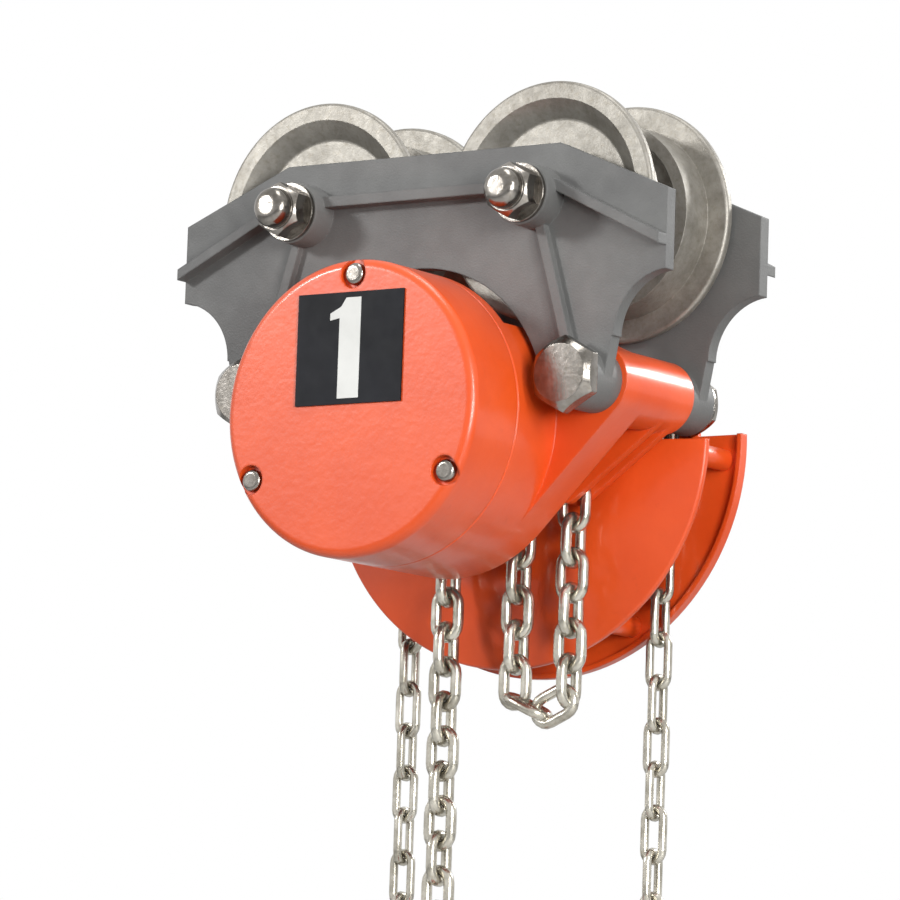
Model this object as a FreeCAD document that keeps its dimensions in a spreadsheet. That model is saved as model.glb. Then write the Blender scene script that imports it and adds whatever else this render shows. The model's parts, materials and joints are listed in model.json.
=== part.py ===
# Low-headroom hand-chain hoist built into a push beam trolley.
# X runs along the beam, +Y points to the hand wheel, +Z is up.
# The origin lies on the wheels' running plane, midway between the side plates and the axles.
import FreeCAD, Part
import math
import os
import Sketcher
from FreeCAD import Placement, Rotation, Vector

doc = FreeCAD.newDocument("trolley_hoist")
sheet = doc.addObject("Spreadsheet::Sheet", "dims")

# Driving dimensions in millimetres, counts and degrees
SIZES = {
    "gauge_gap": 88, "plate_thick": 8, "plate_half": 157, "bend_half": 89,
    "plate_mid_top": 82, "plate_end_top": 53, "leg_half": 21, "leg_foot": 3, "arch_top": 11,
    "arch_room": 4, "arch_in": 24, "edge_arc_radius": 34, "edge_arc_gap": 1, "edge_arc_drop": 24,
    "ledge_drop": 20, "ledge_end_drop": 25, "ledge_tall": 6, "ledge_proud": 8, "brace_half": 3,
    "brace_proud": 4,
    "axle_half": 75, "tread_radius": 53, "wheel_flange_radius": 65.5, "wheel_flange_thick": 6,
    "tread_width": 22, "wheel_gap": 2, "rim_radius": 56, "dish_radius": 46, "dish_depth": 9,
    "wheel_web": 9, "wheel_round": 2, "hub_radius": 27, "hub_inset": 2, "bush_radius": 13,
    "axle_radius": 9, "axle_head_thick": 5, "axle_boss_radius": 17, "axle_boss_proud": 16,
    "axle_washer_radius": 16, "axle_washer_thick": 2.5, "axle_nut_across": 26, "axle_nut_tall": 12,
    "axle_dome_tall": 9, "axle_dome_radius": 10.92, "axle_dome_round": 6.3,
    "pin_space": 3, "pin_drop": 45, "pin_radius": 11, "pin_boss_radius": 17,
    "pin_boss_out": 8, "pin_boss_in": 10, "pin_head_across": 36, "pin_head_tall": 10,
    "pin_washer_thick": 2, "pin_nut_across": 30, "pin_nut_tall": 6, "tube_radius": 20,
    "hoist_drop": 64.5, "housing_radius": 80, "housing_wall": 6, "seam_out": 71, "cover_depth": 42,
    "cover_wall": 5, "cover_round": 5, "housing_end": 10, "end_wall": 8, "plate_room": 2,
    "roof_drop": 15, "roof_half": 50, "arm_thick": 24, "seam_round": 1, "bearing_plate_thick": 5,
    "bearing_plate_lip": 2, "screw_in": 8, "screw_head_radius": 6, "screw_head_tall": 4,
    "screw_head_round": 2.4, "screw_radius": 2.5, "screw_notch": 8, "screw_depth": 9,
    "label_half_wide": 34, "label_half_tall": 30, "label_rise": 32, "label_thick": 1,
    "gear_room": 6.75, "pinion_teeth": 12, "wheel_teeth": 32, "first_gear_at": 62,
    "first_gear_wide": 9, "second_gear_at": 45, "second_gear_wide": 13, "journal_radius": 6,
    "root_wall": 0.3125, "running_gap": 0.05, "free_gap": 0.5,
    "load_wire": 6.3, "load_pitch": 19.1, "link_slim": 0.15, "sheave_pockets": 4, "sheave_at": 21,
    "sheave_flange": 29.5, "sheave_half": 16, "sheave_journal": 17, "spline_radius": 14,
    "bearing_radius": 24, "load_links": 14, "slack_links": 7, "slack_rise_links": 6, "slack_dip": 8,
    "anchor_pin_radius": 3, "anchor_play": 0.4, "ear_thick": 5,
    "drum_face": 38, "lip_in": 2, "lip_at": 48, "lip_deep": 4, "lip_band": 18,
    "drum_wall": 5, "drum_round": 60, "rim_round": 1.5, "drum_top_rise": 1, "drum_flat": 1,
    "drain_radius": 2.5, "drain_in": 10, "drain_angle": -90,
    "brake_radius": 42, "brake_hub_thick": 5, "friction_thick": 2.5, "ratchet_thick": 5,
    "ratchet_radius": 46, "ratchet_teeth": 20, "ratchet_tooth": 4, "pawl_reach": 22, "pawl_room": 3,
    "pawl_tip_long": 4, "pawl_tip_thick": 1.5, "pawl_heel": 4, "pawl_pin_proud": 1,
    "hand_wire": 5, "hand_pitch": 23.7, "hand_pockets": 11, "hand_links": 11, "hand_wheel_half": 11,
    "hand_wheel_rise": 2.5, "hand_hub_radius": 22, "hand_hub_half": 7, "hand_rim_deep": 19,
    "hand_web_half": 3, "hand_windows": 5, "hand_window_turn": 18,
    "ring_radius": 126, "ring_thick": 3, "ring_lip": 4, "ring_gap": 1.5, "ring_wide": 30,
    "dome_deep": 15, "dome_slope": 10, "dome_wall": 4, "dome_top_wall": 2, "dome_round": 6,
    "cover_flat": 6, "stud_in": 13, "stud_radius": 4, "stud_sleeve_radius": 6,
    "stud_head_across": 13.6, "stud_head_tall": 4, "stud_spread": 60, "stud_drop": 4,
    "shaft_nut_wall": 3, "shaft_nut_tall": 9,
    "yoke_radius": 17, "yoke_tall": 44, "yoke_pin_radius": 4, "yoke_chamfer": 3, "yoke_wall": 4,
    "hook_wire": 9, "hook_bowl": 19, "hook_shank": 8, "hook_neck": 36, "neck_swell": 1.35,
    "collar_tall": 6, "latch_thick": 4, "latch_out": 11, "latch_low": 6, "latch_start": 10.5,
    "latch_half": 7, "latch_pin_radius": 2.5, "latch_pin_half": 8, "lug_half": 3, "lug_round": 4,
}
# Places that follow from the driving dimensions
DERIVED = {
    "half_gap": "=gauge_gap / 2", "plate_out": "=half_gap + plate_thick",
    "wheel_out": "=half_gap - wheel_gap", "tread_out": "=wheel_out - wheel_flange_thick",
    "wheel_in": "=tread_out - tread_width", "hub_out": "=wheel_out - hub_inset",
    "dish_floor": "=wheel_out - dish_depth", "web_in": "=dish_floor - wheel_web",
    "axle_bore": "=axle_radius + running_gap", "axle_head_out": "=wheel_in - free_gap",
    "axle_head_in": "=axle_head_out - axle_head_thick", "axle_boss_out": "=plate_out + axle_boss_proud",
    "collar_in": "=hub_out + free_gap",
    "axle_nut_at": "=axle_boss_out + axle_washer_thick", "axle_end": "=axle_nut_at + axle_nut_tall",
    "arch_radius": "=housing_radius + arch_room", "arch_half": "=arch_radius - arch_in",
    "pin_half": "=arch_radius + pin_boss_radius + pin_space",
    "leg_out": "=pin_half + leg_half", "leg_in": "=pin_half - leg_half - leg_foot",
    "leg_low": "=pin_half + pin_boss_radius",
    "edge_arc_x": "=leg_out + edge_arc_gap + edge_arc_radius",
    "ledge_mid": "=plate_mid_top - ledge_drop", "ledge_mid_low": "=ledge_mid - ledge_tall",
    "ledge_end": "=plate_end_top - ledge_end_drop", "ledge_end_low": "=ledge_end - ledge_tall",
    "pin_boss_start": "=half_gap - pin_boss_in", "pin_boss_long": "=pin_boss_in + plate_thick + pin_boss_out",
    "pin_boss_end": "=pin_boss_start + pin_boss_long", "pin_bore": "=pin_radius + running_gap",
    "tube_half": "=pin_boss_start",
    "axle_hole": "=axle_radius", "plate_clear": "=axle_boss_out + pin_boss_out",
    "brace_top_in": "=axle_half - brace_half", "brace_top_out": "=axle_half + brace_half",
    "brace_low_in": "=pin_half - brace_half", "brace_low_out": "=pin_half + brace_half",
    "cover_face": "=seam_out + cover_depth", "cover_in": "=housing_radius - cover_wall",
    "cover_floor": "=cover_depth - cover_wall",
    "seat_radius": "=cover_in + bearing_plate_lip", "bearing_plate_radius": "=seat_radius - running_gap",
    "screw_circle": "=housing_radius - screw_in",
    "gear_module": "=(housing_radius - cover_wall - gear_room) / (pinion_teeth / 2 + wheel_teeth + 1)",
    "gear_apart": "=gear_module * (pinion_teeth + wheel_teeth) / 2",
    "shaft_radius": "=gear_module * (pinion_teeth / 2 - 1.25) - root_wall",
    "journal_bore": "=journal_radius + running_gap", "shaft_bore": "=shaft_radius + running_gap",
    "sheave_front": "=sheave_at - sheave_half", "sheave_back": "=sheave_at + sheave_half",
    "bearing_bore": "=sheave_journal + running_gap",
    "wall_front": "=housing_end + end_wall", "rear_bearing_end": "=drum_face + end_wall",
    "brake_at": "=rear_bearing_end + free_gap", "friction_one": "=brake_at + brake_hub_thick",
    "ratchet_at": "=friction_one + friction_thick", "friction_two": "=ratchet_at + ratchet_thick",
    "hand_hub_at": "=friction_two + friction_thick", "hand_at": "=hand_hub_at + hand_wheel_half",
    "drum_neck": "=housing_radius", "drum_top_radius": "=drum_neck + drum_top_rise",
    "lip_radius": "=ring_radius - lip_in", "drain_circle": "=lip_radius - drain_in",
    "lip_rise": "=lip_at - drum_face", "rim_end": "=lip_rise + lip_deep",
    "lip_inside": "=lip_radius - lip_band",
    "drum_inside": "=drum_neck - drum_wall", "drum_boss": "=bearing_radius + drum_wall",
    "hub_boss": "=hand_hub_radius - running_gap", "hub_boss_long": "=hand_hub_at - brake_at",
    "ring_in": "=ring_radius - ring_thick", "ring_back": "=ring_lip + ring_thick",
    "stud_circle": "=ring_radius - stud_in", "dome_radius": "=ring_radius - ring_wide",
    "ring_start": "=ring_at - ring_lip", "dome_back": "=ring_back + dome_deep",
    "dome_floor": "=dome_back - ring_thick", "dome_shoulder": "=dome_radius - dome_slope",
    "dome_shoulder_in": "=dome_shoulder - dome_top_wall", "dome_in": "=dome_radius - dome_wall",
    "ring_at": "=hand_at + hand_wheel_half + ring_gap",
    "shaft_end": "=hand_at + hand_hub_half + shaft_nut_tall",
    "shaft_nut_across": "=2 * (shaft_radius + shaft_nut_wall)",
}
row = 0
for table in (SIZES, DERIVED):
    for alias, content in table.items():
        row += 1
        sheet.set("A%d" % row, alias)
        sheet.set("B%d" % row, str(content))
        sheet.setAlias("B%d" % row, alias)
doc.recompute()


def val(key):
    """Value of a named dimension; a leading minus turns its sign."""
    if key == "0":
        return 0.0
    if key.startswith("-"):
        return -float(sheet.get(key[1:]))
    return float(sheet.get(key))


def formula(key):
    return "-dims." + key[1:] if key.startswith("-") else "dims." + key


# Proportions: hex corners, gear teeth in modules, chain links in wires, ratchet and windows in shares
HEX_CHAMFER = 0.93
PIN_HEAD_CHAMFER = 0.86
PRESSURE_ANGLE = math.radians(20)
TOOTH_PLAY = 0.14
TOOTH_ROOT = 1.15
TOOTH_TIP = 0.75
LINK_BEND = 1.15
LINK_HALF = LINK_BEND + 0.5
RATCHET_SLOPE = 0.9
WINDOW_SHARE = 0.3
CUT_OVER = 1.0
SAME_PLACE = 0.001

nodes = {}
AXIS_Y = Vector(0, 1, 0)
AXIS_Z = Vector(0, 0, 1)
HOIST_Z = -val("hoist_drop")
HOIST = Vector(0, 0, HOIST_Z)


# Sketch helpers: every corner and circle is tied to named dimensions
def new_sketch(body, role, offset="0"):
    plane = [f for f in body.Origin.OriginFeatures if f.Role == role][0]
    sketch = body.newObject("Sketcher::SketchObject", body.Name + "_sketch")
    sketch.AttachmentSupport = [(plane, "")]
    sketch.MapMode = "FlatFace"
    if offset != "0":
        sketch.AttachmentOffset = Placement(Vector(0, 0, val(offset)), Rotation())
        sketch.setExpression("AttachmentOffset.Base.z", formula(offset))
    return sketch


def tie_point(sketch, geometry, end, x_key, y_key):
    for kind, key, axis in (("DistanceX", x_key, -2), ("DistanceY", y_key, -1)):
        if key == "0":
            sketch.addConstraint(Sketcher.Constraint("PointOnObject", geometry, end, axis))
            continue
        index = sketch.addConstraint(Sketcher.Constraint(kind, -1, 1, geometry, end, val(key)))
        sketch.setExpression("Constraints[%d]" % index, formula(key))


def polygon(sketch, corners):
    points = [Vector(val(x), val(y), 0) for x, y in corners]
    lines = []
    for index, point in enumerate(points):
        line = Part.LineSegment(point, points[(index + 1) % len(points)])
        lines.append(sketch.addGeometry(line, False))
    for index, line in enumerate(lines):
        follower = lines[(index + 1) % len(lines)]
        sketch.addConstraint(Sketcher.Constraint("Coincident", line, 2, follower, 1))
        tie_point(sketch, line, 1, *corners[index])


def circle(sketch, x_key, y_key, radius_key):
    centre = Vector(val(x_key), val(y_key), 0)
    index = sketch.addGeometry(Part.Circle(centre, AXIS_Z, val(radius_key)), False)
    tie_point(sketch, index, 3, x_key, y_key)
    radius = sketch.addConstraint(Sketcher.Constraint("Radius", index, val(radius_key)))
    sketch.setExpression("Constraints[%d]" % radius, formula(radius_key))


def new_body(name, keep=True):
    body = doc.addObject("PartDesign::Body", name)
    body.Label = name
    if keep:
        nodes[name] = body
    return body


def pad(body, sketch, length):
    extrusion = body.newObject("PartDesign::Pad", body.Name + "_pad")
    extrusion.Profile = sketch
    extrusion.Length = val(length)
    extrusion.setExpression("Length", formula(length))


def cut_through(body, sketch):
    doc.recompute()
    before = body.Shape.Volume
    pocket = body.newObject("PartDesign::Pocket", body.Name + "_pocket")
    pocket.Profile = sketch
    pocket.Type = "ThroughAll"
    doc.recompute()
    if body.Shape.Volume >= before:
        raise RuntimeError(body.Label + ": the pocket cut nothing")


def place(item, turn, x="0", y="0", z="0"):
    item.Placement = Placement(Vector(val(x), val(y), val(z)), Rotation(AXIS_Z, turn))
    for name, key in (("x", x), ("y", y), ("z", z)):
        if key != "0":
            item.setExpression("Placement.Base." + name, formula(key))


def turned(name, profile, turn=90, x="0", y="0", z="-hoist_drop", keep=True):
    """A piece turned about its own X axis from (axial, radius) corners, then laid along Y."""
    body = new_body(name, keep)
    sketch = new_sketch(body, "XY_Plane")
    polygon(sketch, profile)
    revolution = body.newObject("PartDesign::Revolution", name + "_turn")
    revolution.Profile = sketch
    revolution.ReferenceAxis = (sketch, ["H_Axis"])
    revolution.Angle = 360
    place(body, turn, x, y, z)
    return body


def soften(body, radius, *rims):
    """Round the circular edges at the given (axial, radius) corners of a turned body."""
    doc.recompute()
    solid = body.Tip
    names = []
    for index, edge in enumerate(solid.Shape.Edges):
        if not isinstance(edge.Curve, Part.Circle):
            continue
        for axial, rim in rims:
            off = abs(edge.Curve.Radius - val(rim)) + abs(edge.Curve.Center.x - val(axial))
            if off < SAME_PLACE:
                names.append("Edge%d" % (index + 1))
    fillet = body.newObject("PartDesign::Fillet", body.Name + "_fillet")
    fillet.Base = (solid, names)
    fillet.Radius = val(radius)
    fillet.setExpression("Radius", formula(radius))


def ring(name, start, end, inner, outer, **where):
    return turned(name, [(start, inner), (start, outer), (end, outer), (end, inner)], **where)


# Plain solids for pieces that are cut, grouped or curved
def feature(name, shape):
    item = doc.addObject("Part::Feature", name)
    item.Label = name
    item.Shape = shape
    nodes[name] = item
    return item


def rod(radius, y_start, y_end, x=0.0, z=0.0):
    return Part.makeCylinder(radius, y_end - y_start, Vector(x, y_start, z), AXIS_Y)


def block(x0, x1, y0, y1, z0, z1):
    return Part.makeBox(x1 - x0, y1 - y0, z1 - z0, Vector(x0, y0, z0))


def hexagon(across, tall, chamfer=HEX_CHAMFER):
    """Hex bar of a width across flats, standing on Z, its top corner chamfered."""
    corner = across / math.sqrt(3)
    points = [Vector(corner * math.cos(a), corner * math.sin(a), 0)
              for a in (math.radians(60 * step + 30) for step in range(7))]
    bar = Part.Face(Part.makePolygon(points)).extrude(Vector(0, 0, tall))
    slope = corner - across / 2 * chamfer
    skin = Part.makeCylinder(corner, tall - slope)
    skin = skin.fuse(Part.makeCone(corner, corner - slope, slope, Vector(0, 0, tall - slope)))
    return bar.common(skin)


def along_y(shape, y, x, z, front):
    """Stand a Z-built piece on a plane square to Y; front pieces point to -Y."""
    turn = Rotation(Vector(1, 0, 0), 90 if front else -90)
    moved = shape.copy()
    moved.Placement = Placement(Vector(x, -y if front else y, z), turn)
    return moved


def tapered_arm(start, start_radius, end, end_radius, y, thick):
    """Flat arm between two rounds in the XZ plane, bounded by their outer tangents."""
    line = Vector(end.x - start.x, 0, end.z - start.z)
    lean = math.atan2(line.z, line.x)
    spread = math.acos((start_radius - end_radius) / line.Length)
    points = []
    for centre, radius, sign in ((start, start_radius, 1), (end, end_radius, 1), (end, end_radius, -1),
                                 (start, start_radius, -1)):
        angle = lean + sign * spread
        points.append(Vector(centre.x + radius * math.cos(angle), y, centre.z + radius * math.sin(angle)))
    points.append(points[0])
    web = Part.Face(Part.makePolygon(points)).extrude(Vector(0, thick, 0))
    return web.fuse([rod(start_radius, y, y + thick, start.x, start.z),
                     rod(end_radius, y, y + thick, end.x, end.z)])


SIDES = {"front": -90, "rear": 90}
ENDS = {"left": "-axle_half", "right": "axle_half"}


# Side plates: bent-top casting with ledge, braces, axle bosses and load-pin bosses
def side_plate(name, turn):
    body = new_body(name)
    outline = new_sketch(body, "XZ_Plane", "half_gap")
    right = [("plate_half", "-edge_arc_drop"), ("plate_half", "plate_end_top"),
             ("bend_half", "plate_mid_top")]
    left = [("-" + x, z) for x, z in reversed(right)]
    legs = [("leg_out", "-edge_arc_drop"), ("leg_low", "-pin_drop"), ("leg_in", "-pin_drop"),
            ("arch_half", "-arch_top")]
    legs_left = [("-" + x, z) for x, z in legs]
    polygon(outline, right + left + legs_left + list(reversed(legs)))
    pad(body, outline, "plate_thick")
    bosses = new_sketch(body, "XZ_Plane", "pin_boss_start")
    for x in ("pin_half", "-pin_half"):
        circle(bosses, x, "-pin_drop", "pin_boss_radius")
    pad(body, bosses, "pin_boss_long")
    axle_bosses = new_sketch(body, "XZ_Plane", "plate_out")
    for x in ("axle_half", "-axle_half"):
        circle(axle_bosses, x, "tread_radius", "axle_boss_radius")
    pad(body, axle_bosses, "axle_boss_proud")
    ledge = new_sketch(body, "XZ_Plane", "plate_out")
    top = [("plate_half", "ledge_end"), ("bend_half", "ledge_mid"), ("-bend_half", "ledge_mid"),
           ("-plate_half", "ledge_end")]
    low = [("-plate_half", "ledge_end_low"), ("-bend_half", "ledge_mid_low"),
           ("bend_half", "ledge_mid_low"), ("plate_half", "ledge_end_low")]
    polygon(ledge, top + low)
    pad(body, ledge, "ledge_proud")
    for sign in ("", "-"):
        brace = new_sketch(body, "XZ_Plane", "plate_out")
        polygon(brace, [(sign + "brace_top_in", "tread_radius"), (sign + "brace_top_out", "tread_radius"),
                        (sign + "brace_low_out", "-pin_drop"), (sign + "brace_low_in", "-pin_drop")])
        pad(body, brace, "brace_proud")
    cuts = new_sketch(body, "XZ_Plane", "plate_clear")
    for sign in ("", "-"):
        circle(cuts, sign + "edge_arc_x", "-edge_arc_drop", "edge_arc_radius")
        circle(cuts, sign + "pin_half", "-pin_drop", "pin_bore")
        circle(cuts, sign + "axle_half", "tread_radius", "axle_hole")
    circle(cuts, "0", "-hoist_drop", "arch_radius")
    cut_through(body, cuts)
    place(body, turn)


side_plate("front_side_plate", 0)
side_plate("rear_side_plate", 180)

# Wheels, bushes and axles: one set at each corner, measured outwards from the mid-plane
WHEEL = [("dish_floor", "dish_radius"), ("wheel_out", "rim_radius"), ("wheel_out", "wheel_flange_radius"),
         ("tread_out", "wheel_flange_radius"), ("tread_out", "tread_radius"), ("wheel_in", "tread_radius"),
         ("wheel_in", "dish_radius"), ("web_in", "dish_radius"), ("web_in", "hub_radius"),
         ("wheel_in", "hub_radius"), ("wheel_in", "bush_radius"), ("hub_out", "bush_radius"),
         ("hub_out", "hub_radius"), ("dish_floor", "hub_radius")]
AXLE = [("axle_head_in", "0"), ("axle_head_in", "bush_radius"), ("axle_head_out", "bush_radius"),
        ("axle_head_out", "axle_radius"), ("collar_in", "axle_radius"), ("collar_in", "bush_radius"),
        ("half_gap", "bush_radius"), ("half_gap", "axle_radius"), ("axle_end", "axle_radius"),
        ("axle_end", "0")]
for side, turn in SIDES.items():
    for end, x in ENDS.items():
        corner = side + "_" + end
        where = {"turn": turn, "x": x, "z": "tread_radius"}
        wheel = turned("wheel_" + corner, WHEEL, **where)
        soften(wheel, "wheel_round", ("wheel_out", "wheel_flange_radius"),
               ("tread_out", "wheel_flange_radius"), ("dish_floor", "dish_radius"), ("hub_out", "hub_radius"))
        ring("wheel_bush_" + corner, "wheel_in", "hub_out", "axle_bore", "bush_radius", **where)
        turned("axle_" + corner, AXLE, **where)


def at_corners(piece, y):
    return [along_y(piece, y, sign * val("axle_half"), val("tread_radius"), front)
            for sign in (-1, 1) for front in (True, False)]


# Axle washers and acorn nuts
axle_hole = Part.makeCylinder(val("axle_radius"), val("axle_nut_tall"))
washer = Part.makeCylinder(val("axle_washer_radius"), val("axle_washer_thick")).cut(axle_hole)
feature("axle_washers", Part.makeCompound(at_corners(washer, val("axle_boss_out"))))
dome = Part.makeCylinder(val("axle_dome_radius"), val("axle_dome_tall"), Vector(0, 0, val("axle_nut_tall")))
dome = dome.makeFillet(val("axle_dome_round"), [dome.Edges[0]])
acorn = hexagon(val("axle_nut_across"), val("axle_nut_tall")).fuse(dome).cut(axle_hole)
feature("axle_nuts", Part.makeCompound(at_corners(acorn, val("axle_nut_at"))))

# Load pins: domed hex head in front, washer and thin nut behind
pin_end = val("pin_boss_end") + val("pin_washer_thick") + val("pin_nut_tall")
pin_shank = Part.makeCylinder(val("pin_radius"), val("pin_boss_end") + pin_end, Vector(0, 0, 0), -AXIS_Z)
pin_head = hexagon(val("pin_head_across"), val("pin_head_tall"), PIN_HEAD_CHAMFER)
pin_hole = Part.makeCylinder(val("pin_radius"), val("pin_nut_tall"))
pin_washer = Part.makeCylinder(val("pin_boss_radius"), val("pin_washer_thick")).cut(pin_hole)
pin_nut = hexagon(val("pin_nut_across"), val("pin_nut_tall")).cut(pin_hole)
pin_places = {"left": -val("pin_half"), "right": val("pin_half")}
PIN_Z = -val("pin_drop")
for end, x in pin_places.items():
    feature("load_pin_" + end, along_y(pin_shank.fuse(pin_head), val("pin_boss_end"), x, PIN_Z, True))
feature("load_pin_washers", Part.makeCompound(
    [along_y(pin_washer, val("pin_boss_end"), x, PIN_Z, False) for x in pin_places.values()]))
feature("load_pin_nuts", Part.makeCompound(
    [along_y(pin_nut, val("pin_boss_end") + val("pin_washer_thick"), x, PIN_Z, False)
     for x in pin_places.values()]))


def on_circle(radius, degrees):
    angle = math.radians(degrees)
    return radius * math.cos(angle), HOIST_Z + radius * math.sin(angle)


SCREW_ANGLES = (90, -30, 210)
SCREW_SPOTS = [on_circle(val("screw_circle"), angle) for angle in SCREW_ANGLES]
STUD_ANGLES = [-val("stud_drop"), -val("stud_spread"), val("stud_spread") - 180, val("stud_drop") - 180]
STUD_SPOTS = [on_circle(val("stud_circle"), angle) for angle in STUD_ANGLES]
SEAM = -val("seam_out")
WALL_END = -val("housing_end")
PLATE_FRONT = -val("plate_out")
ANCHOR_RUN = math.sqrt(val("load_pitch") ** 2 - val("slack_dip") ** 2)
SHEAVE_STEP = 180.0 / val("sheave_pockets")
SHEAVE_CORNER = val("load_pitch") / 2 / math.sin(math.radians(SHEAVE_STEP / 2))
STRAND_X = SHEAVE_CORNER * math.cos(math.radians(SHEAVE_STEP / 2))
ANCHOR_X = STRAND_X + 2 * ANCHOR_RUN
STRAND_TOP = HOIST_Z - val("load_pitch") / 2
ANCHOR_Z = STRAND_TOP + (val("slack_rise_links") - val("slack_links")) * val("load_pitch")
ANCHOR_PIN_Z = ANCHOR_Z - val("anchor_pin_radius") - val("anchor_play")


# Hoist frame: gear housing, arms to the two suspension tubes, roof over the sheave, anchor ears
def hoist_frame():
    radius = val("housing_radius")
    wall = val("housing_wall")
    roof = -val("roof_drop")
    back = PLATE_FRONT - val("pin_boss_out") - val("plate_room")
    tall = 2 * radius
    outer = rod(radius, SEAM, WALL_END, 0, HOIST_Z)
    seam_edges = [edge for edge in outer.Edges if edge.Closed and edge.CenterOfMass.y < back]
    outer = outer.makeFillet(val("seam_round"), seam_edges)
    room = rod(radius - wall, SEAM, WALL_END - val("end_wall"), 0, HOIST_Z)
    shape = outer.cut(block(-tall, tall, back, WALL_END, roof, tall))
    room = room.cut(block(-tall, tall, back - wall, WALL_END, roof - wall, tall))
    tubes = []
    for x in pin_places.values():
        tube = rod(val("tube_radius"), -val("tube_half"), val("tube_half"), x, PIN_Z)
        arm = tapered_arm(HOIST, radius, Vector(x, 0, PIN_Z), val("tube_radius"), WALL_END - val("arm_thick"),
                          val("arm_thick"))
        tubes += [tube, arm]
    shape = shape.fuse(tubes)
    shape = shape.cut(block(-tall, tall, -val("tube_half"), val("tube_half"), roof, tall))
    shape = shape.fuse(block(-val("roof_half"), val("roof_half"), WALL_END - wall, val("drum_face"),
                             roof - wall, roof))
    ear_half = val("load_wire") / 2 + val("free_gap")
    lug = 2 * val("anchor_pin_radius")
    for low in (val("sheave_at") - ear_half - val("ear_thick"), val("sheave_at") + ear_half):
        ear = tapered_arm(Vector(val("pin_half"), 0, PIN_Z), val("tube_radius"),
                          Vector(ANCHOR_X, 0, ANCHOR_PIN_Z), lug, low, val("ear_thick"))
        shape = shape.fuse(ear)
    bosses = [rod(val("screw_notch"), SEAM + val("bearing_plate_thick"), SEAM + val("screw_depth"), x, z)
              for x, z in SCREW_SPOTS]
    room = room.cut(Part.makeCompound(bosses).common(outer))
    shape = shape.cut(room)
    seat = rod(val("seat_radius"), SEAM, SEAM + val("bearing_plate_thick"), 0, HOIST_Z)
    cuts = [seat, rod(val("bearing_radius"), -tall, 0, 0, HOIST_Z)]
    for x in (-val("gear_apart"), val("gear_apart")):
        cuts.append(rod(val("journal_bore"), WALL_END - val("end_wall") - CUT_OVER, WALL_END, x, HOIST_Z))
    for x in pin_places.values():
        cuts.append(rod(val("pin_bore"), -tall, tall, x, PIN_Z))
    for x, z in SCREW_SPOTS:
        cuts.append(rod(val("screw_radius"), SEAM, SEAM + val("screw_depth"), x, z))
    cuts.append(rod(val("anchor_pin_radius"), 0, tall, ANCHOR_X, ANCHOR_PIN_Z))
    return shape.cut(cuts).removeSplitter()


feature("hoist_frame", hoist_frame())

# Gear cover: deep cap with a rounded rim and three notches for its screws
cap = turned("gear_cover_cap", [
    ("0", "cover_in"), ("0", "housing_radius"), ("cover_depth", "housing_radius"), ("cover_depth", "0"),
    ("cover_floor", "0"), ("cover_floor", "cover_in")], turn=-90, y="-seam_out", keep=False)
soften(cap, "cover_round", ("cover_depth", "housing_radius"))
soften(cap, "seam_round", ("0", "housing_radius"))
doc.recompute()


def gear_cover():
    face = -val("cover_face")
    shape = cap.Shape.copy()
    inside = rod(val("housing_radius") - 2 * val("seam_round"), face, SEAM, 0, HOIST_Z)
    for x, z in SCREW_SPOTS:
        shape = shape.fuse(rod(val("screw_notch"), face + val("cover_wall"), SEAM, x, z).common(inside))
    for (x, z), angle in zip(SCREW_SPOTS, SCREW_ANGLES):
        notch = rod(val("screw_notch"), face, face + val("screw_head_tall"), x, z)
        edge_x, edge_z = on_circle(val("housing_radius") + val("screw_notch"), angle)
        outer = rod(val("screw_notch"), face, face + val("screw_head_tall"), edge_x, edge_z)
        shape = shape.cut([notch, outer, rod(val("screw_radius"), face, SEAM, x, z)])
    return shape.removeSplitter()


feature("gear_cover", gear_cover())
screw = Part.makeCylinder(val("screw_head_radius"), val("screw_head_tall"))
screw = screw.makeFillet(val("screw_head_round"), [screw.Edges[0]])
shank_long = val("cover_depth") - val("screw_head_tall") + val("screw_depth")
screw = screw.fuse(Part.makeCylinder(val("screw_radius"), shank_long, Vector(0, 0, 0), -AXIS_Z))
screw_seat = val("cover_face") - val("screw_head_tall")
feature("cover_screws", Part.makeCompound(
    [along_y(screw, screw_seat, x, z, True) for x, z in SCREW_SPOTS]))
label_z = HOIST_Z + val("label_rise")
label = block(-val("label_half_wide"), val("label_half_wide"), -val("cover_face") - val("label_thick"),
              -val("cover_face"), label_z - val("label_half_tall"), label_z + val("label_half_tall"))
feature("number_plate", label)


# Toothed wheel with involute flanks, its axis along Y, starting at y
def gear(teeth, y, wide, x, turn):
    module = val("gear_module")
    pitch = module * teeth / 2
    base = pitch * math.cos(PRESSURE_ANGLE)

    def half_angle(radius):
        lean = math.acos(min(1, base / max(radius, base)))
        thick = math.pi / (2 * teeth) * (1 - TOOTH_PLAY)
        return thick + math.tan(PRESSURE_ANGLE) - PRESSURE_ANGLE - math.tan(lean) + lean

    levels = [pitch - TOOTH_ROOT * module, pitch, pitch + TOOTH_TIP * module]
    points = []
    for tooth in range(teeth):
        middle = math.radians(turn) + 2 * math.pi * tooth / teeth
        for radius, sign in [(r, -1) for r in levels] + [(r, 1) for r in reversed(levels)]:
            angle = middle + sign * half_angle(radius)
            points.append(Vector(x + radius * math.cos(angle), y, HOIST_Z + radius * math.sin(angle)))
    points.append(points[0])
    return Part.Face(Part.makePolygon(points)).extrude(Vector(0, wide, 0))


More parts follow.
